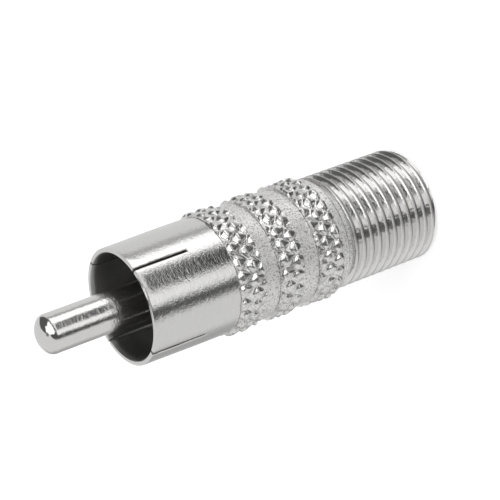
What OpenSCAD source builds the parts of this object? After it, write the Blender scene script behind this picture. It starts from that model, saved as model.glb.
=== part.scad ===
// RCA plug to F-type socket adapter: a nickel plated die-cast barrel with three
// diamond knurled bands, a slit ground sleeve round a centre pin at the top and a
// 3/8-32 threaded coax socket at the bottom. The axis is Z, and the flat end of
// the threaded barrel stands on Z = 0.

/* [Threaded end] */
// Length of the threaded stretch, from the end face to the collar
thread_len = 9.1; // [6:0.1:14]
// Major diameter of the thread
thread_d = 9.46; // [8.8:0.02:9.54]
// Chamfer at the open end of the thread
thread_chamfer = 0.35; // [0.1:0.05:0.6]
// Length of the groove where the thread runs out, at the collar
run_out_len = 0.4; // [0.2:0.05:0.8]
// Diameter at the bottom of that groove
run_out_d = 8.8; // [8.6:0.05:9.2]
// Length of the plain collar between the thread and the knurls
collar_len = 0.9; // [0.5:0.1:3]
// Chamfer on the collar's edge next to the thread
collar_chamfer = 0.2; // [0.05:0.05:0.3]

/* [Knurled barrel] */
// Number of knurled bands
band_count = 3; // [1:1:5]
// Width of one knurled band
band_w = 2.3; // [1.6:0.1:4]
// Width of the plain groove between two bands
land_w = 1.5; // [0.6:0.1:3]
// Diameter of the plain grooves and the collar
land_d = 9.56; // [9.56:0.02:9.8]
// Diameter over the points of the knurl
knurl_d = 10.25; // [10:0.05:11.5]
// Diameter at the bottom of the knurl's valleys
valley_d = 9.64; // [9.64:0.02:9.9]
// Number of knurl teeth round the barrel
tooth_count = 26; // [17:1:34]
// Distance along the axis from one ring of teeth to the next
tooth_row = 1.02; // [0.8:0.02:1.5]
// Height of the flat floor where two knurl grooves cross
groove_flat = 0.7; // [0.2:0.05:0.9]
// Distance from the sleeve's end of the barrel to the first ring of teeth
first_row = 0.48; // [0.1:0.02:0.75]
// Turn of the first ring's teeth from the barrel's parting line, in degrees
knurl_turn = -2.9; // [-7:0.1:7]
// Lean of the columns of teeth, in degrees for each ring
column_lean = 0.3; // [0:0.05:0.6]

/* [Barrel inside] */
// Bore that holds the socket's insulator
f_bore_d = 6.6; // [6:0.1:7]
// Depth of that bore, from the end face
f_bore_len = 8.6; // [6:0.1:9]
// Length of the rolled lip that holds the insulator in
lip_len = 0.4; // [0.2:0.05:0.6]
// Inside diameter of the rolled lip
lip_d = 6; // [5:0.1:6.4]
// Bore between the two insulators
mid_bore_d = 5.2; // [4:0.1:5.8]
// Bore that holds the plug's insulator
rca_bore_d = 6.8; // [6:0.1:7]
// Depth of that bore, from the end of the spigot
rca_bore_len = 3.3; // [2:0.1:5]
// Length of the spigot that the sleeve is pressed over
spigot_len = 1.6; // [1:0.1:2.8]

/* [Ground sleeve] */
// Length of the sleeve
sleeve_len = 7.85; // [6:0.05:10]
// Outside diameter of the sleeve at its root
sleeve_d = 9.6; // [9.6:0.05:10]
// Wall of the sleeve
sleeve_wall = 0.5; // [0.4:0.05:0.6]
// How far the sleeve's petals are drawn in at the rim, on the radius
petal_draw = 0.065; // [0:0.005:0.15]
// Number of slits in the sleeve
slit_count = 4; // [2:1:8]
// Length of each slit, from the rim
slit_len = 4.8; // [3:0.1:5]
// Width of each slit
slit_w = 0.22; // [0.15:0.01:0.6]
// Turn of the slits from the barrel's parting line, in degrees
slit_turn = 11.5; // [0:0.5:90]
// Length of the lead-in chamfer inside the rim
lead_in_len = 0.45; // [0.2:0.05:0.8]
// Depth of the lead-in chamfer, on the radius
lead_in_depth = 0.13; // [0.05:0.01:0.2]
// Rounding of the rim's outer edge
rim_break = 0.07; // [0.03:0.01:0.1]

/* [Centre pin] */
// Diameter of the pin
pin_d = 3.175; // [3:0.005:3.3]
// How far the pin's tip stands past the sleeve's rim
pin_reach = 7.35; // [6:0.05:9]
// Length of the pin's rounded nose
nose_len = 1.05; // [0.9:0.05:1.4]
// Radius of the edge between the pin's side and its domed front
nose_edge_r = 0.75; // [0.5:0.05:0.85]
// Diameter of the pin's tail
tail_d = 1.6; // [1.2:0.1:1.9]
// Length of the tail that sits in the socket contact
tail_seat = 3; // [2:0.1:5]

/* [Insulators] */
// How far the plug's insulator lies inside the end of the spigot
rca_recess = 0.3; // [0:0.05:0.6]
// Hole for the centre conductor in the socket's insulator
entry_d = 1.5; // [1.3:0.05:1.8]
// Diameter of the funnel round that hole
funnel_d = 3.1; // [2.4:0.1:4]
// Depth of the funnel
funnel_depth = 0.8; // [0.4:0.05:1]
// Thickness of the insulator in front of the socket contact
front_wall = 1.7; // [1.4:0.1:2.5]

/* [Socket contact] */
// Outside diameter of the contact
contact_d = 2.4; // [2.2:0.1:2.8]
// Hole for the cable's centre conductor
contact_bore_d = 1.1; // [0.9:0.05:1.3]
// Depth of that hole
contact_bore_len = 6; // [4.5:0.1:8]
// Length of the slots that make the contact's two springs
contact_slot_len = 4.5; // [3:0.1:6]
// Width of those slots
contact_slot_w = 0.3; // [0.2:0.05:0.4]
// Clearance between the contact and what it passes through
contact_gap = 0.1; // [0.05:0.05:0.2]

/* [Hidden] */
$fn = 96;

// Overlap that keeps a cut's tool clear of the face that it cuts
cut_over = 0.5;
// Depth of the knurl rings' buried inner side below the grooves
ring_root = 0.4;

// Heights above the end face
knurl_base_z = thread_len + collar_len;
band_pitch = band_w + land_w;
knurl_top_z = knurl_base_z + band_count * band_w + (band_count - 1) * land_w;
spigot_top_z = knurl_top_z + spigot_len;
rim_z = knurl_top_z + sleeve_len;
pin_tip_z = rim_z + pin_reach;
rca_bore_floor_z = spigot_top_z - rca_bore_len;
rca_face_z = spigot_top_z - rca_recess;
contact_mouth_z = lip_len + front_wall;
slit_end_z = rim_z - slit_len;

sleeve_bore_d = sleeve_d - 2 * sleeve_wall;
pin_r = pin_d / 2;

// The knurl's lattice: its lines run along the barrel, two for each tooth of a ring
line_count = 2 * tooth_count;
lattice_z = knurl_top_z - first_row;
floor_part = groove_flat / 2 / tooth_row;

// A point of knurl line i at this height, in rows above the first ring of teeth
function lattice_point(i, row, d) =
    let (a = knurl_turn + i * 360 / line_count - row * column_lean)
    [d / 2 * cos(a), d / 2 * sin(a), lattice_z + row * tooth_row];

// Teeth and groove crossings take turns along each line and round each ring
function is_tooth(i, j) = (i + abs(j)) % 2 == 0;
function row_line(j) = [
    for (i = [0 : line_count - 1]) lattice_point(i, j, is_tooth(i, j) ? knurl_d : valley_d)
];

// On each line, the end of the groove floor that lies between row j and the next
function floor_line(j) = [
    for (i = [0 : line_count - 1])
        lattice_point(i, j + (is_tooth(i, j) ? 1 - floor_part : floor_part), valley_d)
];

function root_line(j) = [
    for (i = [0 : line_count - 1]) lattice_point(i, j, land_d - 2 * ring_root)
];

// Whole rings of four-sided teeth between two rows of the lattice
module knurl_rings(low_row, high_row) {
    n = line_count;
    row_total = high_row - low_row;

    // Where the points of the highest row and of the two buried rings start
    high = 2 * row_total * n;
    low_root = high + n;
    high_root = low_root + n;

    // Two teeth reach into each cell, with the groove's floor between them
    tooth_faces = [
        for (m = [0 : row_total - 1], i = [0 : n - 1])
            let (k = (i + 1) % n, low = 2 * m * n, mid = low + n, top = mid + n)
            each is_tooth(i, low_row + m)
                ? [[low + i, mid + i, low + k], [low + k, mid + i, mid + k],
                    [mid + i, top + i, mid + k], [top + i, top + k, mid + k]]
                : [[low + i, mid + k, low + k], [low + i, mid + i, mid + k],
                    [mid + i, top + k, mid + k], [mid + i, top + i, top + k]]
    ];
    side_faces = [
        for (i = [0 : n - 1])
            let (k = (i + 1) % n)
            each [
                [i, k, low_root + k, low_root + i],
                [high + k, high + i, high_root + i, high_root + k],
                [low_root + i, low_root + k, high_root + k], [low_root + i, high_root + k, high_root + i]
            ]
    ];
    row_points = [for (j = [low_row : high_row - 1]) each concat(row_line(j), floor_line(j))];
    polyhedron(
        points = concat(row_points, row_line(high_row), root_line(low_row), root_line(high_row)),
        faces = concat(tooth_faces, side_faces));
}

// One knurled band: the stretch of the knurl between its two flat sides
module knurl_band(low_z, high_z) {
    intersection() {
        knurl_rings(floor((low_z - lattice_z) / tooth_row), ceil((high_z - lattice_z) / tooth_row));
        translate([0, 0, low_z])
        cylinder(d = knurl_d + 2 * cut_over, h = high_z - low_z);
    }
}

// Half section of the barrel without its knurls, in radius and height
module barrel_section() {
    thread_r = thread_d / 2;
    land_r = land_d / 2;
    polygon([
        [lip_d / 2, 0],
        [thread_r - thread_chamfer, 0],
        [thread_r, thread_chamfer],
        [thread_r, thread_len - run_out_len],
        [run_out_d / 2, thread_len - run_out_len],
        [run_out_d / 2, thread_len],
        [land_r - collar_chamfer, thread_len],
        [land_r, thread_len + collar_chamfer],
        [land_r, knurl_top_z],
        [sleeve_bore_d / 2, knurl_top_z],
        [sleeve_bore_d / 2, spigot_top_z],
        [rca_bore_d / 2, spigot_top_z],
        [rca_bore_d / 2, rca_bore_floor_z],
        [mid_bore_d / 2, rca_bore_floor_z],
        [mid_bore_d / 2, f_bore_len],
        [f_bore_d / 2, f_bore_len],
        [f_bore_d / 2, lip_len],
        [lip_d / 2, lip_len]
    ]);
}

// The die-cast barrel with its thread's blank, knurls, bores and spigot
module body() {
    color("silver")
    union() {
        rotate_extrude() barrel_section();
        for (b = [0 : band_count - 1]) {
            low_z = knurl_base_z + b * band_pitch;
            knurl_band(low_z, low_z + band_w);
        }
    }
}

// Half section of the ground sleeve: a straight root and petals drawn in to the rim
module sleeve_section() {
    root_r = sleeve_d / 2;
    rim_r = root_r - petal_draw;
    polygon([
        [root_r - sleeve_wall, knurl_top_z],
        [root_r, knurl_top_z],
        [root_r, slit_end_z],
        [rim_r, rim_z - rim_break],
        [rim_r - rim_break, rim_z],
        [rim_r - sleeve_wall + lead_in_depth, rim_z],
        [rim_r - sleeve_wall, rim_z - lead_in_len],
        [root_r - sleeve_wall, slit_end_z]
    ]);
}

// The springy ground sleeve, slit into petals
module rca_shell() {
    color("gainsboro")
    difference() {
        rotate_extrude() sleeve_section();
        for (k = [0 : slit_count - 1])
            rotate([0, 0, slit_turn + k * 360 / slit_count])
            translate([pin_r, 0, slit_end_z]) {
                translate([0, -slit_w / 2, slit_w / 2])
                cube([sleeve_d, slit_w, slit_len + cut_over]);
                translate([0, 0, slit_w / 2])
                rotate([0, 90, 0])
                cylinder(d = slit_w, h = sleeve_d, $fn = 24);
            }
    }
}

// Half section of the pin's nose: a domed front and a rounded edge
module nose_section() {
    edge_x = pin_r - nose_edge_r;
    dome_r = (edge_x * edge_x + nose_len * nose_len - nose_edge_r * nose_edge_r)
        / (2 * (nose_len - nose_edge_r));
    dome_z = nose_len - dome_r;
    edge_turn = atan2(edge_x, -dome_z);
    translate([edge_x, 0]) circle(r = nose_edge_r);
    intersection() {
        translate([0, dome_z]) circle(r = dome_r);
        polygon([
            [0, 0],
            [edge_x, 0],
            [edge_x + dome_r * sin(edge_turn), dome_r * cos(edge_turn)],
            [0, 2 * dome_r]
        ]);
    }
}

// The centre pin, with the tail that holds the socket contact
module centre_pin() {
    shaft_len = pin_tip_z - nose_len - rca_face_z;
    tail_len = rca_face_z - rca_bore_floor_z + tail_seat;
    color("gainsboro")
    translate([0, 0, rca_face_z])
    rotate_extrude() {
        square([pin_r, shaft_len]);
        translate([0, shaft_len])
        intersection() {
            nose_section();
            square([pin_d, pin_d]);
        }
        translate([0, -tail_len]) square([tail_d / 2, tail_len + nose_len]);
    }
}

// The plug's insulator, pressed into the spigot
module rca_insulator() {
    color("dimgray")
    translate([0, 0, rca_bore_floor_z])
    difference() {
        cylinder(d = rca_bore_d, h = rca_face_z - rca_bore_floor_z);
        translate([0, 0, -cut_over])
        cylinder(d = tail_d, h = rca_bore_len + 2 * cut_over);
    }
}

// The socket's insulator, with a funnel that leads a cable's centre conductor in
module f_insulator() {
    len = f_bore_len - lip_len;
    entry_r = entry_d / 2;
    color("whitesmoke")
    translate([0, 0, lip_len])
    rotate_extrude()
    polygon([
        [entry_r, funnel_depth],
        [funnel_d / 2, 0],
        [f_bore_d / 2, 0],
        [f_bore_d / 2, len],
        [contact_d / 2 + contact_gap, len],
        [contact_d / 2 + contact_gap, front_wall],
        [entry_r, front_wall]
    ]);
}

// The socket contact: a turned stem on the pin's tail, slotted into two springs
module f_contact() {
    stem_len = rca_bore_floor_z - contact_mouth_z - contact_gap;
    mouth_z = contact_mouth_z + contact_gap;
    mouth_chamfer = (contact_d - contact_bore_d) / 4;
    color("goldenrod")
    translate([0, 0, mouth_z])
    difference() {
        rotate_extrude()
        polygon([
            [contact_bore_d / 2, 0],
            [contact_d / 2 - mouth_chamfer, 0],
            [contact_d / 2, mouth_chamfer],
            [contact_d / 2, stem_len],
            [tail_d / 2, stem_len],
            [tail_d / 2, stem_len - tail_seat],
            [0, stem_len - tail_seat],
            [0, contact_bore_len],
            [contact_bore_d / 2, contact_bore_len]
        ]);
        translate([-contact_d, -contact_slot_w / 2, -cut_over])
        cube([2 * contact_d, contact_slot_w, contact_slot_len + cut_over]);
    }
}

body();
rca_shell();
centre_pin();
rca_insulator();
f_insulator();
f_contact();
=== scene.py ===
import math
import bpy
from mathutils import Matrix, Vector, noise


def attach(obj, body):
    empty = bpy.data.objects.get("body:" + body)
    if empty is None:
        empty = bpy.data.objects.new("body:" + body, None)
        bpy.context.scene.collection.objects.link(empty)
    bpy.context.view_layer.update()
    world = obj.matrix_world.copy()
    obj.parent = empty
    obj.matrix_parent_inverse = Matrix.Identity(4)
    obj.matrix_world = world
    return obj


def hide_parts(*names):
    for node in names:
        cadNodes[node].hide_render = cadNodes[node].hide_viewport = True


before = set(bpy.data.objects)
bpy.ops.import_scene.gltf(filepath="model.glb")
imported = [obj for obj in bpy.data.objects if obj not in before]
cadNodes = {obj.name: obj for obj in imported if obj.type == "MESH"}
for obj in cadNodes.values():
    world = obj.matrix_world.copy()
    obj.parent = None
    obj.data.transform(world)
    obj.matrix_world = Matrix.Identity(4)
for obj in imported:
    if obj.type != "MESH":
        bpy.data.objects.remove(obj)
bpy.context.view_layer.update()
print("frame loaded:", ", ".join(sorted(cadNodes)))

mm = 0.001  # every size below is in millimetres, and Blender works in metres
hair = 0.01  # in millimetres: places that are nearer than this count as one
mergeWithin = 0.001 * mm
bisectWithin = 0.0001 * mm

# The camera of the photograph, solved from the outlines of the pin, sleeve and thread
photoCamera = {
    "place": (128.54, -40.04, 94.76),
    "forward": (-0.82090, 0.26031, -0.50829),
    "pictureUp": (0.45153, 0.84080, -0.29864),
    "lens": 141.84,
    "sensor": 36.0,
    "nearest": 5.0,
    "farthest": 5000.0,
}


def addCamera(setup):
    data = bpy.data.cameras.new("photoCamera")
    data.lens = setup["lens"]
    data.sensor_width = setup["sensor"]
    data.clip_start = setup["nearest"] * mm
    data.clip_end = setup["farthest"] * mm
    camera = bpy.data.objects.new("photoCamera", data)
    bpy.context.scene.collection.objects.link(camera)
    back = -Vector(setup["forward"]).normalized()
    right = Vector(setup["pictureUp"]).cross(back).normalized()
    up = back.cross(right)
    turn = Matrix((right, up, back)).transposed().to_4x4()
    camera.matrix_world = Matrix.Translation(Vector(setup["place"]) * mm) @ turn
    bpy.context.scene.camera = camera


addCamera(photoCamera)
bpy.context.scene.view_settings.view_transform = "Standard"
print("camera placed")


# Helpers for modelling as by hand
def pickOnly(obj):
    bpy.ops.object.select_all(action="DESELECT")
    obj.select_set(True)
    bpy.context.view_layer.objects.active = obj


def startEdit(obj):
    pickOnly(obj)
    bpy.ops.object.mode_set(mode="EDIT")
    bpy.ops.mesh.select_mode(type="VERT")
    bpy.ops.mesh.select_all(action="SELECT")


def endEdit():
    bpy.ops.object.mode_set(mode="OBJECT")


def polar(place):  # radius in millimetres, azimuth in degrees and height of a place
    x, y, z = place / mm
    return math.hypot(x, y), math.degrees(math.atan2(y, x)), z


def selectPoints(obj, test):  # test gets each point's radius, azimuth in degrees and height
    bpy.ops.object.mode_set(mode="OBJECT")
    mesh = obj.data
    mesh.polygons.foreach_set("select", [False] * len(mesh.polygons))
    mesh.edges.foreach_set("select", [False] * len(mesh.edges))
    for point in mesh.vertices:
        point.select = test(*polar(point.co))
    bpy.ops.object.mode_set(mode="EDIT")
    bpy.ops.mesh.select_mode(type="VERT")


def selectFaces(obj, test):  # test gets each face centre's radius, azimuth and height
    bpy.ops.mesh.select_mode(type="FACE")
    bpy.ops.object.mode_set(mode="OBJECT")
    mesh = obj.data
    mesh.vertices.foreach_set("select", [False] * len(mesh.vertices))
    mesh.edges.foreach_set("select", [False] * len(mesh.edges))
    for face in mesh.polygons:
        face.select = test(*polar(face.center))
    bpy.ops.object.mode_set(mode="EDIT")


def movePoints(obj, rule, pickedOnly=False):
    # The rule gives a point's new radius and height from its radius, azimuth in degrees and height
    for point in obj.data.vertices:
        if point.select or not pickedOnly:
            radius, azimuth, height = polar(point.co)
            newRadius, newHeight = rule(radius, azimuth, height)
            x, y = point.co.xy / mm
            point.co = Vector((x * newRadius / radius, y * newRadius / radius, newHeight)) * mm


def applyModifier(obj, kind, **settings):
    modifier = obj.modifiers.new(kind.lower(), kind)
    for name, value in settings.items():
        setattr(modifier, name, value)
    pickOnly(obj)
    bpy.ops.object.modifier_apply(modifier=modifier.name)


def roundCorner(before, corner, after, radius, steps):  # the points of an arc that touches both sides
    a, b, c = Vector(before), Vector(corner), Vector(after)
    one, two = (a - b).normalized(), (c - b).normalized()
    half = one.angle(two) / 2
    centre = b + (one + two).normalized() * (radius / math.sin(half))
    start = (b + one * (radius / math.tan(half)) - centre).normalized()
    end = (b + two * (radius / math.tan(half)) - centre).normalized()
    return [tuple(centre + start.slerp(end, i / steps) * radius) for i in range(steps + 1)]


def drawOutline(name, points, azimuth=0.0, closed=False):
    # Extrudes one point along a line of radius and height pairs, in the plane at this azimuth
    turn = math.radians(azimuth)
    places = [Vector((r * math.cos(turn), r * math.sin(turn), z)) * mm for r, z in points]
    if closed:
        places.append(places[0])
    bpy.ops.object.select_all(action="DESELECT")
    bpy.ops.mesh.primitive_plane_add(size=2 * mm)
    obj = bpy.context.active_object
    obj.name = obj.data.name = name
    bpy.ops.object.mode_set(mode="EDIT")
    selectPoints(obj, lambda r, a, z: not 0 < a < 90)
    bpy.ops.mesh.delete(type="VERT")
    bpy.ops.mesh.select_all(action="SELECT")  # the one corner that is left
    bpy.ops.transform.translate(value=places[0] - Vector((mm, mm, 0)))
    for here, there in zip(places, places[1:]):
        bpy.ops.mesh.extrude_region_move(TRANSFORM_OT_translate={"value": there - here})
    if closed:
        bpy.ops.mesh.select_all(action="SELECT")
        bpy.ops.mesh.remove_doubles(threshold=mergeWithin)
    endEdit()
    return obj


def lathe(obj, steps):
    startEdit(obj)
    bpy.ops.mesh.spin(steps=steps, angle=math.tau, center=(0, 0, 0), axis=(0, 0, 1))
    bpy.ops.mesh.select_all(action="SELECT")
    bpy.ops.mesh.remove_doubles(threshold=mergeWithin)
    bpy.ops.mesh.normals_make_consistent(inside=False)
    endEdit()


def smoothOver(obj, degrees):  # smooth across gentle edges, with flat faces kept flat
    pickOnly(obj)
    bpy.ops.object.shade_smooth_by_angle(angle=math.radians(degrees))
    applyModifier(obj, "WEIGHTED_NORMAL", keep_sharp=True, mode="FACE_AREA", weight=60)


def finishPiece(obj, material, slotName, *standsFor):
    obj.data.materials.clear()
    obj.data.materials.append(material)
    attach(obj, "root")
    if standsFor:
        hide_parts(*standsFor)
    print("made", obj.name, "with", sum(len(f.vertices) - 2 for f in obj.data.polygons), "triangles")


# Shader helpers
def newGroup(name, inputs, outputs):
    tree = bpy.data.node_groups.new(name, "ShaderNodeTree")
    for label, value in inputs.items():
        socket = tree.interface.new_socket(label, in_out="INPUT", socket_type="NodeSocketFloat")
        socket.default_value = value
    for label, kind in outputs.items():
        tree.interface.new_socket(label, in_out="OUTPUT", socket_type=kind)
    return tree, tree.nodes.new("NodeGroupInput"), tree.nodes.new("NodeGroupOutput")


def addNode(tree, kind, feeds=None, **settings):
    node = tree.nodes.new(kind)
    for name, value in settings.items():
        setattr(node, name, value)
    for label, value in (feeds or {}).items():
        if isinstance(value, bpy.types.NodeSocket):
            tree.links.new(value, node.inputs[label])
        else:
            node.inputs[label].default_value = value
    return node


def mathNode(tree, operation, *values, clamp=False):
    return addNode(tree, "ShaderNodeMath", dict(enumerate(values)),
                   operation=operation, use_clamp=clamp).outputs[0]


def placeGroup(tree, group, **values):  # values are given by socket name, with _ for a space
    node = tree.nodes.new("ShaderNodeGroup")
    node.node_tree = group
    for name, value in values.items():
        label = name.replace("_", " ")
        if isinstance(value, bpy.types.NodeSocket):
            tree.links.new(value, node.inputs[label])
        else:
            node.inputs[label].default_value = value
    return node


def placeInMm(tree):  # where a point is on its piece
    place = tree.nodes.new("ShaderNodeTexCoord").outputs["Object"]
    scaled = addNode(tree, "ShaderNodeVectorMath", {0: place, "Scale": 1 / mm}, operation="SCALE")
    return scaled.outputs[0]


def buildTurningMarks():
    # Fine rings left by a lathe tool: long round the piece, short along it
    tree, given, result = newGroup(
        "turningMarks",
        {"Rings per mm": 12.0, "Breaks per mm": 1.2, "Grain per mm": 8.0,
         "Ring depth": 0.002, "Grain depth": 0.0008},
        {"Height": "NodeSocketFloat", "Streaks": "NodeSocketFloat"},
    )
    inMm = placeInMm(tree)
    split = addNode(tree, "ShaderNodeSeparateXYZ", {0: inMm})
    along = mathNode(tree, "MULTIPLY", split.outputs[2], given.outputs["Rings per mm"])
    acrossX = mathNode(tree, "MULTIPLY", split.outputs[0], given.outputs["Breaks per mm"])
    acrossY = mathNode(tree, "MULTIPLY", split.outputs[1], given.outputs["Breaks per mm"])
    stretched = addNode(tree, "ShaderNodeCombineXYZ", {0: acrossX, 1: acrossY, 2: along})
    rings = addNode(tree, "ShaderNodeTexNoise", {"Vector": stretched.outputs[0], "Scale": 1.0,
                    "Detail": 3.0, "Roughness": 0.65}, noise_dimensions="3D").outputs["Fac"]
    grain = addNode(tree, "ShaderNodeTexNoise", {"Vector": inMm, "Scale": given.outputs["Grain per mm"],
                    "Detail": 2.0}).outputs["Fac"]
    ringHeight = mathNode(tree, "MULTIPLY", rings, given.outputs["Ring depth"])
    grainHeight = mathNode(tree, "MULTIPLY", grain, given.outputs["Grain depth"])
    height = mathNode(tree, "ADD", ringHeight, grainHeight)
    tree.links.new(mathNode(tree, "MULTIPLY", height, mm), result.inputs["Height"])
    tree.links.new(rings, result.inputs["Streaks"])
    return tree


def buildCastGrain():
    # The pitted skin of a plated die casting, with small dark specks in its hollows
    tree, given, result = newGroup(
        "castGrain",
        {"Grain per mm": 6.0, "Depth": 0.008, "Speck share": 0.42, "Speck edge": 0.1,
         "Wave per mm": 1.2, "Wave depth": 0.02},
        {"Height": "NodeSocketFloat", "Specks": "NodeSocketFloat"},
    )
    inMm = placeInMm(tree)
    grain = addNode(tree, "ShaderNodeTexNoise", {"Vector": inMm, "Scale": given.outputs["Grain per mm"],
                    "Detail": 4.0, "Roughness": 0.6}).outputs["Fac"]
    wave = addNode(tree, "ShaderNodeTexNoise", {"Vector": inMm, "Scale": given.outputs["Wave per mm"],
                   "Detail": 1.0}).outputs["Fac"]
    noSpecks = mathNode(tree, "ADD", given.outputs["Speck share"], given.outputs["Speck edge"])
    specks = addNode(tree, "ShaderNodeMapRange",
                     {"Value": grain, "From Min": given.outputs["Speck share"], "From Max": noSpecks,
                      "To Min": 1.0, "To Max": 0.0}, interpolation_type="SMOOTHSTEP").outputs[0]
    grainHeight = mathNode(tree, "MULTIPLY", grain, given.outputs["Depth"])
    waveHeight = mathNode(tree, "MULTIPLY", wave, given.outputs["Wave depth"])
    height = mathNode(tree, "ADD", grainHeight, waveHeight)
    tree.links.new(mathNode(tree, "MULTIPLY", height, mm), result.inputs["Height"])
    tree.links.new(specks, result.inputs["Specks"])
    return tree


def buildPlateTone():
    # Slow drifts in the tint of nickel plate, darkened where a mask says so
    tree, given, result = newGroup(
        "plateTone",
        {"Lightness": 0.76, "Warmth": 0.02, "Green share": 0.35, "Drift": 0.03, "Drift per mm": 0.35,
         "Mask": 0.0, "Mask share": 0.2},
        {"Color": "NodeSocketColor"},
    )
    inMm = placeInMm(tree)
    drift = addNode(tree, "ShaderNodeTexNoise", {"Vector": inMm, "Scale": given.outputs["Drift per mm"],
                    "Detail": 2.0}).outputs["Fac"]
    centred = mathNode(tree, "SUBTRACT", drift, 0.5)
    drifted = mathNode(tree, "MULTIPLY_ADD", centred, given.outputs["Drift"], given.outputs["Lightness"])
    maskLoss = mathNode(tree, "MULTIPLY", given.outputs["Mask"], given.outputs["Mask share"])
    kept = mathNode(tree, "SUBTRACT", 1.0, maskLoss)
    red = mathNode(tree, "MULTIPLY", drifted, kept)
    blueLoss = mathNode(tree, "MULTIPLY", red, given.outputs["Warmth"])
    greenLoss = mathNode(tree, "MULTIPLY", blueLoss, given.outputs["Green share"])
    blue = mathNode(tree, "SUBTRACT", red, blueLoss)
    green = mathNode(tree, "SUBTRACT", red, greenLoss)
    joined = addNode(tree, "ShaderNodeCombineColor", {"Red": red, "Green": green, "Blue": blue})
    tree.links.new(joined.outputs[0], result.inputs["Color"])
    return tree


def buildSpread():
    # Turns a mask between 0 and 1 into a value that spreads evenly round a middle one
    tree, given, result = newGroup("spreadValue", {"Mask": 0.5, "Middle": 0.2, "Spread": 0.05},
                                   {"Value": "NodeSocketFloat"})
    centred = mathNode(tree, "SUBTRACT", given.outputs["Mask"], 0.5)
    spread = mathNode(tree, "MULTIPLY_ADD", centred, given.outputs["Spread"], given.outputs["Middle"])
    tree.links.new(spread, result.inputs["Value"])
    return tree


def buildRadiusMask():
    # 0 nearer to the axis than one radius in mm, 1 beyond the other
    tree, given, result = newGroup("radiusMask", {"From mm": 4.4, "To mm": 4.5},
                                   {"Mask": "NodeSocketFloat"})
    level = addNode(tree, "ShaderNodeVectorMath", {0: placeInMm(tree), 1: (1, 1, 0)},
                    operation="MULTIPLY").outputs[0]
    radius = addNode(tree, "ShaderNodeVectorMath", {0: level}, operation="LENGTH").outputs["Value"]
    mask = addNode(tree, "ShaderNodeMapRange", {"Value": radius, "From Min": given.outputs["From mm"],
                   "From Max": given.outputs["To mm"]}, interpolation_type="SMOOTHSTEP").outputs[0]
    tree.links.new(mask, result.inputs["Mask"])
    return tree


turningMarks = buildTurningMarks()
castGrain = buildCastGrain()
plateTone = buildPlateTone()
spreadValue = buildSpread()
radiusMask = buildRadiusMask()


def startMaterial(name, metallic, colour):
    material = bpy.data.materials.new(name)
    material.use_nodes = True
    material.diffuse_color = (*colour, 1)
    tree = material.node_tree
    shader = tree.nodes["Principled BSDF"]
    shader.inputs["Metallic"].default_value = metallic
    return material, tree, shader


def linkBump(tree, shader, height, strength=1.0):
    bump = addNode(tree, "ShaderNodeBump", {"Strength": strength, "Distance": 1.0, "Height": height})
    tree.links.new(bump.outputs[0], shader.inputs["Normal"])


def byRadius(tree, limits, near, far):  # one value near the axis and another far from it
    mask = placeGroup(tree, radiusMask, From_mm=limits[0], To_mm=limits[1]).outputs["Mask"]
    return mathNode(tree, "MULTIPLY_ADD", mask, far - near, near)


def turnedMetal(name, finish):
    material, tree, shader = startMaterial(name, 1.0, (finish["lightness"],) * 3)
    lightness, roughness = finish["lightness"], finish["roughness"]
    if "paintedShadeInside" in finish:  # painted shade: the colour darkens towards the axis, standing in for the shade inside the sleeve's mouth and in the thread's roots; the surface is rougher there too
        shadeSpec = finish["paintedShadeInside"]
        lightness = byRadius(tree, shadeSpec["radii"], shadeSpec["lightness"], lightness)
        roughness = byRadius(tree, shadeSpec["radii"], shadeSpec["roughness"], roughness)
    if "paintedShadeOutside" in finish:  # painted shade: the outermost edges get a darker colour, which dims their highlights; they are rougher there too
        shadeSpec = finish["paintedShadeOutside"]
        lessLight = byRadius(tree, shadeSpec["radii"], 0.0, finish["lightness"] - shadeSpec["lightness"])
        moreRough = byRadius(tree, shadeSpec["radii"], 0.0, shadeSpec["roughness"] - finish["roughness"])
        lightness = mathNode(tree, "SUBTRACT", lightness, lessLight)
        roughness = mathNode(tree, "ADD", roughness, moreRough)
    marks = placeGroup(tree, turningMarks, Rings_per_mm=finish["rings"], Breaks_per_mm=finish["breaks"],
                       Ring_depth=finish["ringDepth"], Grain_depth=finish["grainDepth"],
                       Grain_per_mm=finish["grain"])
    tone = placeGroup(tree, plateTone, Lightness=lightness, Warmth=finish["warmth"],
                      Mask=marks.outputs["Streaks"], Mask_share=finish["streakShade"])
    rough = placeGroup(tree, spreadValue, Mask=marks.outputs["Streaks"], Middle=roughness,
                       Spread=finish["roughSpread"])
    tree.links.new(tone.outputs["Color"], shader.inputs["Base Color"])
    tree.links.new(rough.outputs["Value"], shader.inputs["Roughness"])
    strength = 1.0
    if "cleanInside" in finish:  # the tool left fainter marks towards the axis
        strength = byRadius(tree, finish["cleanInside"]["radii"], finish["cleanInside"]["marks"], 1.0)
    linkBump(tree, shader, marks.outputs["Height"], strength)
    return material


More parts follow.
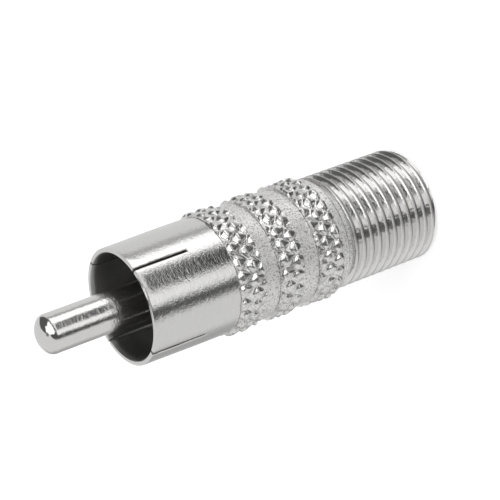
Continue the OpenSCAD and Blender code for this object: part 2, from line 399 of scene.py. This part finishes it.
def castNickel(name, finish):
    material, tree, shader = startMaterial(name, 1.0, (finish["lightness"],) * 3)
    grain = placeGroup(tree, castGrain, Grain_per_mm=finish["grain"], Depth=finish["depth"],
                       Speck_share=finish["specks"], Wave_depth=finish["waveDepth"])
    # painted shade: the colour darkens in the narrow crevices at the bands' sides, where shade falls
    plain, dark = finish["lightness"], finish["creviceShadeLightness"]
    darkFrom, darkest, stillDark, darkTo = finish["creviceShadeRadii"]
    darkened = byRadius(tree, (darkFrom, darkest), plain, dark)
    restored = byRadius(tree, (stillDark, darkTo), 0.0, plain - dark)
    # painted shade: the teeth get a darker colour than the lands, which dims their highlights
    lessLight = byRadius(tree, finish["shadeRadii"], 0.0, plain - finish["toothLightness"])
    lightness = mathNode(tree, "SUBTRACT", mathNode(tree, "ADD", darkened, restored), lessLight)
    roughness = byRadius(tree, finish["toothRadii"], finish["landRoughness"], finish["toothRoughness"])
    tone = placeGroup(tree, plateTone, Lightness=lightness, Warmth=finish["warmth"],
                      Mask=grain.outputs["Specks"], Mask_share=finish["speckShade"])
    rough = placeGroup(tree, spreadValue, Mask=grain.outputs["Specks"], Middle=roughness,
                       Spread=finish["roughSpread"])
    tree.links.new(tone.outputs["Color"], shader.inputs["Base Color"])
    tree.links.new(rough.outputs["Value"], shader.inputs["Roughness"])
    linkBump(tree, shader, grain.outputs["Height"])
    return material


def mouldedPlastic(name, finish):
    material, tree, shader = startMaterial(name, 0.0, (finish["lightness"],) * 3)
    grain = placeGroup(tree, castGrain, Grain_per_mm=finish["grain"], Depth=finish["depth"],
                       Wave_depth=finish["waveDepth"])
    tone = placeGroup(tree, plateTone, Lightness=finish["lightness"], Warmth=finish["warmth"],
                      Drift=finish["drift"], Mask=grain.outputs["Specks"],
                      Mask_share=finish["speckShade"])
    rough = placeGroup(tree, spreadValue, Mask=grain.outputs["Specks"], Middle=finish["roughness"],
                       Spread=finish["roughSpread"])
    tree.links.new(tone.outputs["Color"], shader.inputs["Base Color"])
    tree.links.new(rough.outputs["Value"], shader.inputs["Roughness"])
    linkBump(tree, shader, grain.outputs["Height"])
    return material


# The centre pin: a polished shaft with a domed nose and rounded edge, and a thin tail
plugPin = {
    "tailRadius": 0.8,
    "tailEnd": 15.2,
    "tailEdge": 0.1,
    "shaftFrom": 21.2,
    "shaftEdge": 0.05,
    "radius": 1.5875,
    "noseFrom": 34.05,
    "noseLength": 1.05,
    "noseEdge": 0.75,
    "edgeSteps": 14,
    "domeSteps": 8,
    "steps": 128,
    "smoothUnder": 30,
    "finish": {
        "lightness": 0.78, "warmth": 0.025, "roughness": 0.04, "roughSpread": 0.03, "streakShade": 0.06,
        "rings": 4.5, "breaks": 3.0, "ringDepth": 0.020, "grain": 11.0, "grainDepth": 0.006,
        "cleanInside": {"radii": (1.44, 1.56), "marks": 0.2},
    },
}


def makePin(pin):
    tailRadius, tailEnd, tailEdge = pin["tailRadius"], pin["tailEnd"], pin["tailEdge"]
    edge, length = pin["noseEdge"], pin["noseLength"]
    edgeAt = pin["radius"] - edge
    domeRadius = (edgeAt ** 2 + length ** 2 - edge ** 2) / (2 * (length - edge))
    domeAt = length - domeRadius
    edgeTurn = math.atan2(edgeAt, -domeAt)
    outline = [(0, tailEnd), (tailRadius - tailEdge, tailEnd), (tailRadius, tailEnd + tailEdge),
               (tailRadius, pin["shaftFrom"]), (pin["radius"] - pin["shaftEdge"], pin["shaftFrom"]),
               (pin["radius"], pin["shaftFrom"] + pin["shaftEdge"])]
    for i in range(pin["edgeSteps"] + 1):
        turn = (math.pi / 2 - edgeTurn) * i / pin["edgeSteps"]
        outline.append((edgeAt + edge * math.cos(turn), pin["noseFrom"] + edge * math.sin(turn)))
    for i in range(1, pin["domeSteps"] + 1):
        turn = edgeTurn * (1 - i / pin["domeSteps"])
        height = pin["noseFrom"] + domeAt + domeRadius * math.cos(turn)
        outline.append((domeRadius * math.sin(turn), height))
    obj = drawOutline("plugPin", outline)
    lathe(obj, pin["steps"])
    smoothOver(obj, pin["smoothUnder"])
    finishPiece(obj, turnedMetal("pinNickel", pin["finish"]), "pin_nickel", "centre_pin")


makePin(plugPin)

# The ground sleeve: a thin tube whose four petals lean in to the rim, with a lead-in inside
groundSleeve = {
    "radius": 4.8,
    "rimRadius": 4.735,
    "wall": 0.5,
    "rootAt": 19.9,
    "slitEnd": 22.95,
    "rimAt": 27.75,
    "petals": 4,
    "slitTurn": 11.5,
    "columns": 136,
    "petalShift": 0.05,
    "leadInDepth": 0.13,
    "leadInLength": 0.45,
    "edge": 0.07,
    "edgeOver": 50,
    "smoothUnder": 35,
    # painted shade: the slit walls between these radii take the dark slit finish below
    "slitShadeRadii": (4.335, 4.73),
    "slitShadeColumns": 0.55,
    "finish": {
        "lightness": 0.76, "warmth": 0.02, "roughness": 0.15, "roughSpread": 0.06, "streakShade": 0.08,
        "rings": 5.0, "breaks": 2.0, "ringDepth": 0.022, "grain": 9.0, "grainDepth": 0.008,
        # painted shade darkens the inside of the mouth
        "paintedShadeInside": {"radii": (4.37, 4.45), "lightness": 0.38, "roughness": 0.38},
    },
    "slitShadeFinish": {
        "lightness": 0.28, "warmth": 0.05, "roughness": 0.5, "roughSpread": 0.1, "streakShade": 0.2,
        "rings": 9.0, "breaks": 9.0, "ringDepth": 0.003, "grain": 9.0, "grainDepth": 0.004,
    },
}


def fromSlit(sleeve, azimuth):  # how many degrees a place is from the middle of the nearest slit
    petal = 360 / sleeve["petals"]
    return abs((azimuth - sleeve["slitTurn"] + petal / 2) % petal - petal / 2)


def makeSleeve(sleeve):
    column = 360 / sleeve["columns"]  # one column is as wide as a slit, and the slits fall on columns
    start = sleeve["slitTurn"] - column * (math.floor(sleeve["slitTurn"] / column) + 0.5)
    middle = (sleeve["rimAt"] + sleeve["slitEnd"]) / 2
    middleRadius = (sleeve["radius"] + sleeve["rimRadius"]) / 2
    outline = [(sleeve["radius"], sleeve["rootAt"]), (sleeve["radius"], sleeve["slitEnd"]),
               (middleRadius, middle), (sleeve["rimRadius"], sleeve["rimAt"])]
    obj = drawOutline("groundSleeve", outline, azimuth=start)
    lathe(obj, sleeve["columns"])
    startEdit(obj)
    selectFaces(obj, lambda r, a, z: z > sleeve["slitEnd"] and fromSlit(sleeve, a) < column / 2)
    bpy.ops.mesh.delete(type="FACE")
    for slit in range(sleeve["petals"]):  # the petals lean together, so each slit narrows to the rim
        centre = sleeve["slitTurn"] + slit * 360 / sleeve["petals"]
        across = Vector((-math.sin(math.radians(centre)), math.cos(math.radians(centre)), 0))
        for side in (-1, 1):
            for level, share in ((middle, 0.5), (sleeve["rimAt"], 1.0)):
                selectPoints(obj, lambda r, a, z: abs(z - level) < hair
                             and abs((a - centre - side * column / 2 + 180) % 360 - 180) < column / 4)
                bpy.ops.transform.translate(value=across * (-side * share * sleeve["petalShift"] * mm))
    endEdit()
    applyModifier(obj, "SOLIDIFY", thickness=sleeve["wall"] * mm, offset=-1, use_even_offset=True,
                  use_rim=True)
    innerRim = sleeve["rimRadius"] - sleeve["wall"]
    leadInFrom = sleeve["rimAt"] - sleeve["leadInLength"]
    startEdit(obj)
    bpy.ops.mesh.bisect(plane_co=(0, 0, leadInFrom * mm), plane_no=(0, 0, 1), threshold=bisectWithin)
    selectPoints(obj, lambda r, a, z: z > leadInFrom + hair and r < innerRim + sleeve["wall"] / 2)
    opened = (innerRim + sleeve["leadInDepth"]) / innerRim
    bpy.ops.transform.resize(value=(opened, opened, 1), center_override=(0, 0, sleeve["rimAt"] * mm))
    endEdit()
    applyModifier(obj, "BEVEL", width=sleeve["edge"] * mm, segments=2, limit_method="ANGLE",
                  angle_limit=math.radians(sleeve["edgeOver"]))
    smoothOver(obj, sleeve["smoothUnder"])
    finishPiece(obj, turnedMetal("sleeveNickel", sleeve["finish"]), "sleeve_nickel", "rca_shell")
    # painted shade: the slit walls near the rim get a dark colour of their own, standing in for the
    # shade inside the slits
    obj.data.materials.append(turnedMetal("slitShadeNickel", sleeve["slitShadeFinish"]))
    slitShadeFrom, slitShadeTo = sleeve["slitShadeRadii"]
    startEdit(obj)
    selectFaces(obj, lambda r, a, z: z > sleeve["slitEnd"] - hair and slitShadeFrom < r < slitShadeTo
                and fromSlit(sleeve, a) < column * sleeve["slitShadeColumns"])
    obj.active_material_index = 1
    bpy.ops.object.material_slot_assign()
    endEdit()


makeSleeve(groundSleeve)

# The 3/8-32 thread: a right-handed helix round the barrel's core, chamfered at its open end
cutThread = {
    "pitch": 0.79375,
    "crestRadius": 4.73,
    "rootRadius": 4.243,
    "flankTilt": 30,
    "crestFlat": 0.099,
    "crestAt": 0.6185,
    "crestRound": 0.06,
    "rootRound": 0.09,
    "roundSteps": 3,
    "pointGap": 0.09,
    "coreRadius": 4.2,
    "coreOverlap": 0.01,
    "chamfer": 0.35,
    "end": 8.7,
    "turns": 14,
    "turnsBelow": 2,
    "steps": 96,
    "smoothUnder": 35,
    "finish": {
        "lightness": 0.84, "warmth": 0.02, "roughness": 0.14, "roughSpread": 0.08, "streakShade": 0.10,
        "rings": 12.0, "breaks": 1.5, "ringDepth": 0.004, "grain": 3.0, "grainDepth": 0.020,
        # painted shade darkens the thread's roots and the crests
        "paintedShadeInside": {"radii": (4.26, 4.34), "lightness": 0.34, "roughness": 0.3},
        "paintedShadeOutside": {"radii": (4.64, 4.70), "lightness": 0.74, "roughness": 0.36},
    },
}


def splitLong(points, gap):  # adds points about this far apart along every long stretch
    result = [points[0]]
    for (r0, z0), (r1, z1) in zip(points, points[1:]):
        parts = max(1, round(math.hypot(r1 - r0, z1 - z0) / gap))
        for i in range(1, parts + 1):
            result.append((r0 + (r1 - r0) * i / parts, z0 + (z1 - z0) * i / parts))
    return result


def makeThread(thread):
    pitch, crest, root = thread["pitch"], thread["crestRadius"], thread["rootRadius"]
    rise = (crest - root) * math.tan(math.radians(thread["flankTilt"]))
    halfCrest = thread["crestFlat"] / 2
    corners = [(root, 0), (root, pitch / 2 - halfCrest - rise), (crest, pitch / 2 - halfCrest),
               (crest, pitch / 2 + halfCrest), (root, pitch / 2 + halfCrest + rise), (root, pitch)]
    outline = [corners[0]]
    for i in range(1, 5):
        radius = thread["crestRound"] if corners[i][0] == crest else thread["rootRound"]
        outline += roundCorner(*corners[i - 1:i + 2], radius, thread["roundSteps"])
    outline = splitLong(outline + [corners[5]], thread["pointGap"])
    bottom = thread["crestAt"] - pitch / 2 - thread["turnsBelow"] * pitch
    obj = drawOutline("cutThread", [(r, z + bottom) for r, z in outline])
    applyModifier(obj, "SCREW", axis="Z", angle=math.tau, screw_offset=pitch * mm,
                  iterations=thread["turns"], steps=thread["steps"], render_steps=thread["steps"],
                  use_normal_calculate=True)
    startEdit(obj)
    bpy.ops.mesh.remove_doubles(threshold=mergeWithin)
    for level, facing in ((0, -1), (thread["end"], 1)):  # cut off at both ends
        bpy.ops.mesh.select_all(action="SELECT")
        bpy.ops.mesh.bisect(plane_co=(0, 0, level * mm), plane_no=(0, 0, facing), clear_outer=True,
                            threshold=bisectWithin)
    endEdit()
    movePoints(obj, lambda r, a, z: (min(r, crest - thread["chamfer"] + z), z))
    innerRadius = thread["coreRadius"] - thread["coreOverlap"]
    startEdit(obj)  # both open edges are drawn in to the core and joined inside it
    bpy.ops.mesh.select_mode(type="EDGE")
    bpy.ops.mesh.select_all(action="DESELECT")
    bpy.ops.mesh.select_non_manifold(use_wire=False, use_multi_face=False, use_non_contiguous=False,
                                     use_verts=False)
    bpy.ops.mesh.extrude_region_move(TRANSFORM_OT_translate={"value": (0, 0, 0)})
    endEdit()
    movePoints(obj, lambda r, a, z: (innerRadius, z), pickedOnly=True)
    bpy.ops.object.mode_set(mode="EDIT")
    bpy.ops.mesh.bridge_edge_loops()
    bpy.ops.mesh.select_all(action="SELECT")
    bpy.ops.mesh.normals_make_consistent(inside=False)
    endEdit()
    smoothOver(obj, thread["smoothUnder"])
    finishPiece(obj, turnedMetal("threadNickel", thread["finish"]), "cast_nickel")


makeThread(cutThread)

# The die-cast barrel: one turned outline with its bores, and the knurl raised out of its three bands
castBarrel = {
    "core": ((3.0, 0), (4.2, 0), (4.2, 8.7), (4.4, 8.7)),
    "collar": ((4.4, 9.1), (4.58, 9.1), (4.78, 9.3), (4.78, 10.0)),
    "collarRound": 0.05,
    "collarSteps": 3,
    "bands": ((10.0, 12.3), (13.8, 16.1), (17.6, 19.9)),
    "bores": (
        (4.3, 19.9), (4.3, 21.5), (3.4, 21.5), (3.4, 18.2), (2.6, 18.2), (2.6, 8.6), (3.3, 8.6),
        (3.3, 0.4), (3.0, 0.4),
    ),
    "landRadius": 4.78,
    "creviceWidth": 0.05,
    "creviceDepth": 0.05,
    "creviceWave": {"perMm": 4, "height": 0.05},
    "sideWave": {"perMm": 4, "height": 0.06},
    "rowGap": 0.085,
    "columns": 416,
    "smoothUnder": 50,
    "partingDepth": 0.03,  # the die's parting line is sunk in the lands
    "partingShare": 0.75,
    "partingWave": {"perMm": 3, "height": 0.5},
    "partingColumns": {"land": 1.1, "knurl": 1.6},
    "finish": {
        "lightness": 0.92, "warmth": 0.02, "roughSpread": 0.12, "grain": 8.0, "depth": 0.014,
        "waveDepth": 0.02, "specks": 0.39, "speckShade": 0.46,
        "toothRadii": (4.80, 4.83), "landRoughness": 0.60, "toothRoughness": 0.26,
        # painted shade: the teeth's colour is darker than the lands'
        "shadeRadii": (4.80, 4.88), "toothLightness": 0.85,
        # painted shade: dark colour in the crevices at the bands' sides
        "creviceShadeRadii": (4.62, 4.66, 4.74, 4.765), "creviceShadeLightness": 0.25,
    },
}
# Its teeth are short roofs on one even lattice. Reaches are in rings and widths in half teeth.
diamondKnurl = {
    "teeth": 26,
    "ringAt": 19.42,
    "ringGap": 1.02,
    "turn": -2.9,
    "lean": 0.3,
    "reachUp": 0.45,
    "reachDown": 0.82,
    "width": 1.15,
    "endSlope": 1.7,
    "grooveRadius": 4.85,
    "peakRadius": 5.14,
    "softRidge": 0.07,
    "bluntFrom": 0.86,
    "softFloor": 0.07,
    "uneven": 0.16,
    "sideShare": 0.82,  # how much of its height a tooth keeps where a band's side cuts it
    "sideSlope": 3,
    "lump": {"perMm": 2.2, "height": 0.014},
    "grain": {"perMm": 5.0, "height": 0.004},
    "flashShare": 0.34,  # and stands across the knurl as a low fin
}


def softDistance(distance, soft):  # 0 at 0 and 1 at 1, without a sharp turn at 0
    return (math.hypot(distance, soft) - soft) / (math.hypot(1, soft) - soft)


def waveHeight(place, wave):  # smooth and uneven, and below zero as often as above it
    return wave["height"] * noise.noise(place * wave["perMm"])


def toothHeight(azimuth, z, knurl):  # how high the knurl stands here, as a share of a whole tooth
    soft, uneven, blunt = knurl["softRidge"], knurl["uneven"], knurl["bluntFrom"]
    row = (z - knurl["ringAt"]) / knurl["ringGap"]
    across = (azimuth - knurl["turn"] + row * knurl["lean"]) * knurl["teeth"] / 180
    best = -1.0
    for ring in range(math.floor(row) - 1, math.floor(row) + 3):
        line = 2 * round((across - ring % 2) / 2) + ring % 2
        seed = Vector((line % (2 * knurl["teeth"]) + 0.5, ring + 0.5, 0.5))
        drift = [noise.cell(seed + Vector((0, 0, 5 * i))) - 0.5 for i in range(3)]
        sideways = softDistance((across - line + drift[0] * uneven) / knurl["width"], soft)
        fromRidge = row - ring + drift[1] * uneven
        reach = knurl["reachDown"] if fromRidge < 0 else knurl["reachUp"]
        along = softDistance(fromRidge / reach, soft)
        roof = min(1 - along, knurl["endSlope"] * (1 - along - sideways))
        best = max(best, roof * (1 + drift[2] * uneven))
    best = (best + math.hypot(best, knurl["softFloor"])) / 2
    if best > blunt:
        best = blunt + (1 - blunt) * math.tanh((best - blunt) / (1 - blunt))
    return best


def barrelPoint(barrel, knurl, radius, azimuth, z):  # where a point of the turned outline goes
    land, groove = barrel["landRadius"], knurl["grooveRadius"]
    if radius < land - barrel["creviceDepth"] - hair or z < barrel["collar"][2][1]:
        return radius, z
    turn = math.radians(azimuth)
    place = Vector((radius * math.cos(turn), radius * math.sin(turn), z))
    onLand = radius < groove - hair
    toParting = min(abs(azimuth), 180 - abs(azimuth)) * barrel["columns"] / 360
    partingWidth = barrel["partingColumns"]["land" if onLand else "knurl"]
    partingShare = barrel["partingShare"] + waveHeight(place, barrel["partingWave"])
    flash = max(0.0, 1 - toParting / partingWidth) * partingShare
    if onLand:
        ragged = waveHeight(place, barrel["creviceWave"]) if radius < land - hair else 0
        return radius - flash * barrel["partingDepth"], z + ragged
    toSide = min(min(abs(z - low), abs(z - high)) for low, high in barrel["bands"])
    share = max(toothHeight(azimuth, z, knurl), flash * knurl["flashShare"])
    share *= min(1, knurl["sideShare"] + toSide * knurl["sideSlope"])
    risen = groove + (knurl["peakRadius"] - groove) * share
    onSide = toSide < hair and z < barrel["bores"][0][1] - hair
    ragged = waveHeight(place, barrel["sideWave"]) if onSide else 0
    return risen + waveHeight(place, knurl["lump"]) + waveHeight(place, knurl["grain"]), z + ragged


def makeBarrel(barrel, knurl):
    land, groove, gap = barrel["landRadius"], knurl["grooveRadius"], barrel["rowGap"]
    width, bottom = barrel["creviceWidth"], land - barrel["creviceDepth"]
    collar, collarRound = barrel["collar"], barrel["collarRound"]
    outline = list(barrel["core"]) + [collar[0]]
    for i in (1, 2):
        outline += roundCorner(*collar[i - 1:i + 2], collarRound, barrel["collarSteps"])
    landFrom = outline[-1][1]
    for low, high in barrel["bands"]:
        outline += splitLong([(land, landFrom), (land, low - width)], 2 * gap)[1:]
        outline.append((bottom, low - hair))
        outline += splitLong([(groove, low), (groove, high)], gap)
        if high < barrel["bores"][0][1]:  # no land follows the last band
            outline += [(bottom, high + hair), (land, high + width)]
            landFrom = high + width
    obj = drawOutline("castBarrel", outline + list(barrel["bores"]), closed=True)
    lathe(obj, barrel["columns"])
    movePoints(obj, lambda r, a, z: barrelPoint(barrel, knurl, r, a, z))
    smoothOver(obj, barrel["smoothUnder"])
    finishPiece(obj, castNickel("castNickel", barrel["finish"]), "cast_nickel", "body")


makeBarrel(castBarrel, diamondKnurl)

# Pieces that stay as the model has them, with their own finishes
insulatorFinishes = {
    "rca_insulator": {
        "lightness": 0.03, "warmth": 0.0, "drift": 0.006, "roughness": 0.42, "roughSpread": 0.08,
        "grain": 7.0, "depth": 0.004, "waveDepth": 0.004, "speckShade": 0.06,
    },
    "f_insulator": {
        "lightness": 0.80, "warmth": 0.05, "drift": 0.03, "roughness": 0.38, "roughSpread": 0.08,
        "grain": 5.0, "depth": 0.003, "waveDepth": 0.004, "speckShade": 0.06,
    },
}
contactFinish = {
    "lightness": 0.80, "warmth": 0.55, "roughness": 0.22, "roughSpread": 0.08, "streakShade": 0.08,
    "rings": 14.0, "breaks": 1.0, "ringDepth": 0.002, "grain": 8.0, "grainDepth": 0.001,
}


def dressInside(plastics, brass):
    for name, finish in plastics.items():
        cadNodes[name].material_slots[0].material = mouldedPlastic(name + "Plastic", finish)
    cadNodes["f_contact"].material_slots[0].material = turnedMetal("contactBrass", brass)


dressInside(insulatorFinishes, contactFinish)
print("inner pieces dressed")

# The studio: a pale tent with soft boxes and dark gaps between them, by azimuth and elevation in degrees
tentLight = 0.77
studioCards = {
    "leftBehind": {"azimuth": (-215, -122), "elevation": (-110, 24), "edge": 26, "light": 0.44},
    "leftLowBox": {"azimuth": (-43, -8), "elevation": (-37, 12), "edge": 8, "light": 1.08},
    "centreLow": {"azimuth": (-16, 34), "elevation": (-30, 8), "edge": 5, "light": 0.90},
    "rightLowBox": {"azimuth": (27, 73), "elevation": (-46, 8), "edge": 8, "light": 1.5},
    "floorGap": {"azimuth": (-66, 128), "elevation": (-110, -50), "edge": 10, "light": 0.08},
    "nadirGap": {"azimuth": (-200, 200), "elevation": (-110, -62), "edge": 8, "light": 0.06},
    "centreGap": {"azimuth": (-14, 29), "elevation": (-56, -19), "edge": 5.5, "light": 0.05},
    "rightGrain": {"azimuth": (61, 84), "elevation": (-44, 2), "edge": 6, "light": 0.44},
    "topBox": {"azimuth": (-30, 54), "elevation": (19, 84), "edge": 5, "light": 1.9},
    "frontShade": {"azimuth": (-62, 4), "elevation": (-4, 22), "edge": 5, "light": 0.12},
    "frontCorner": {"azimuth": (-62, -17), "elevation": (-4, 34), "edge": 5, "light": 0.12},
    "rightShade": {"azimuth": (-4, 66), "elevation": (1, 18), "edge": 4, "light": 0.18},
    "leftGap": {"azimuth": (-66, -35), "elevation": (-100, 70), "edge": 9, "light": 0.09},
    "leftHighGap": {"azimuth": (-62, -24), "elevation": (12, 78), "edge": 7, "light": 0.10},
    "rightFlag": {"azimuth": (53, 126), "elevation": (-2, 86), "edge": 8, "light": 0.11},
    "topBoxEnd": {"azimuth": (-30, 84), "elevation": (57, 84), "edge": 6, "light": 1.9},
    "zenithRim": {"azimuth": (-200, 200), "elevation": (81, 110), "edge": 4, "light": 0.22},
}


def buildCardGroup():
    tree, given, result = newGroup(
        "studioCard",
        {"Azimuth": 0.0, "Azimuth from": 0.0, "Azimuth to": 0.0,
         "Elevation": 0.0, "Elevation from": 0.0, "Elevation to": 0.0,
         "Edge": 5.0, "Behind": 0.8, "Light": 1.0},
        {"Light": "NodeSocketFloat"},
    )
    edge = given.outputs["Edge"]
    mask = None
    for angle in ("Azimuth", "Elevation"):
        low, high = given.outputs[angle + " from"], given.outputs[angle + " to"]
        pastLow, beforeHigh = mathNode(tree, "ADD", low, edge), mathNode(tree, "SUBTRACT", high, edge)
        for start, towards in ((low, pastLow), (high, beforeHigh)):
            side = addNode(tree, "ShaderNodeMapRange", {"Value": given.outputs[angle], "From Min": start,
                           "From Max": towards}, interpolation_type="SMOOTHSTEP").outputs[0]
            mask = side if mask is None else mathNode(tree, "MULTIPLY", mask, side)
    gain = mathNode(tree, "SUBTRACT", given.outputs["Light"], given.outputs["Behind"])
    total = mathNode(tree, "MULTIPLY_ADD", gain, mask, given.outputs["Behind"])
    tree.links.new(total, result.inputs["Light"])
    return tree


def buildStudio(behindCards, cards):
    world = bpy.data.worlds.new("studio")
    bpy.context.scene.world = world
    world.use_nodes = True
    world.cycles.sampling_method = "NONE"  # the cards are large and soft, so no map is needed
    tree = world.node_tree
    card = buildCardGroup()
    direction = tree.nodes.new("ShaderNodeTexCoord").outputs["Generated"]
    x, y, z = addNode(tree, "ShaderNodeSeparateXYZ", {0: direction}).outputs[:3]
    azimuth = mathNode(tree, "DEGREES", mathNode(tree, "ARCTAN2", y, x))
    elevation = mathNode(tree, "DEGREES", mathNode(tree, "ARCSINE", z))
    light = behindCards
    for setup in cards.values():  # each card covers what is behind it
        (left, right), (low, high) = setup["azimuth"], setup["elevation"]
        placed = placeGroup(tree, card, Azimuth=azimuth, Azimuth_from=left, Azimuth_to=right,
                            Elevation=elevation, Elevation_from=low, Elevation_to=high,
                            Edge=setup["edge"], Behind=light, Light=setup["light"])
        light = placed.outputs["Light"]
    background = tree.nodes["Background"]
    tree.links.new(light, background.inputs["Color"])
    background.inputs["Strength"].default_value = 1.0


buildStudio(tentLight, studioCards)
print("studio lit")

# The pale floor, which curves up into a backdrop all round
paperSweep = {
    "flatRings": (0, 60, 250),
    "radius": 700.0,
    "cove": 120.0,
    "coveSteps": 8,
    "height": 420.0,
    "steps": 64,
    "smoothUnder": 60,
    "white": 0.9,
    "lift": 0.45,
}


def makePaper(paper):
    radius, cove = paper["radius"], paper["cove"]
    outline = [(ring, 0) for ring in paper["flatRings"]]
    for i in range(paper["coveSteps"] + 1):
        turn = math.radians(90) * i / paper["coveSteps"]
        outline.append((radius - cove + cove * math.sin(turn), cove * (1 - math.cos(turn))))
    outline.append((radius, paper["height"]))
    obj = drawOutline("paperSweep", outline)
    lathe(obj, paper["steps"])
    startEdit(obj)
    bpy.ops.mesh.flip_normals()
    endEdit()
    smoothOver(obj, paper["smoothUnder"])
    white = (paper["white"],) * 3
    material, tree, shader = startMaterial("paleRoll", 0.0, white)
    shader.inputs["Base Color"].default_value = (*white, 1)
    shader.inputs["Roughness"].default_value = 1.0
    shader.inputs["Specular IOR Level"].default_value = 0.0
    shader.inputs["Emission Color"].default_value = (1, 1, 1, 1)
    path = tree.nodes.new("ShaderNodeLightPath").outputs
    seen = mathNode(tree, "ADD", path["Is Camera Ray"], path["Is Glossy Ray"])
    seen = mathNode(tree, "ADD", seen, path["Is Transmission Ray"], clamp=True)
    tree.links.new(mathNode(tree, "MULTIPLY", seen, paper["lift"]), shader.inputs["Emission Strength"])
    obj.data.materials.append(material)
    obj.visible_glossy = False  # so the plating mirrors the studio's cards in its place


makePaper(paperSweep)
print("paper laid")
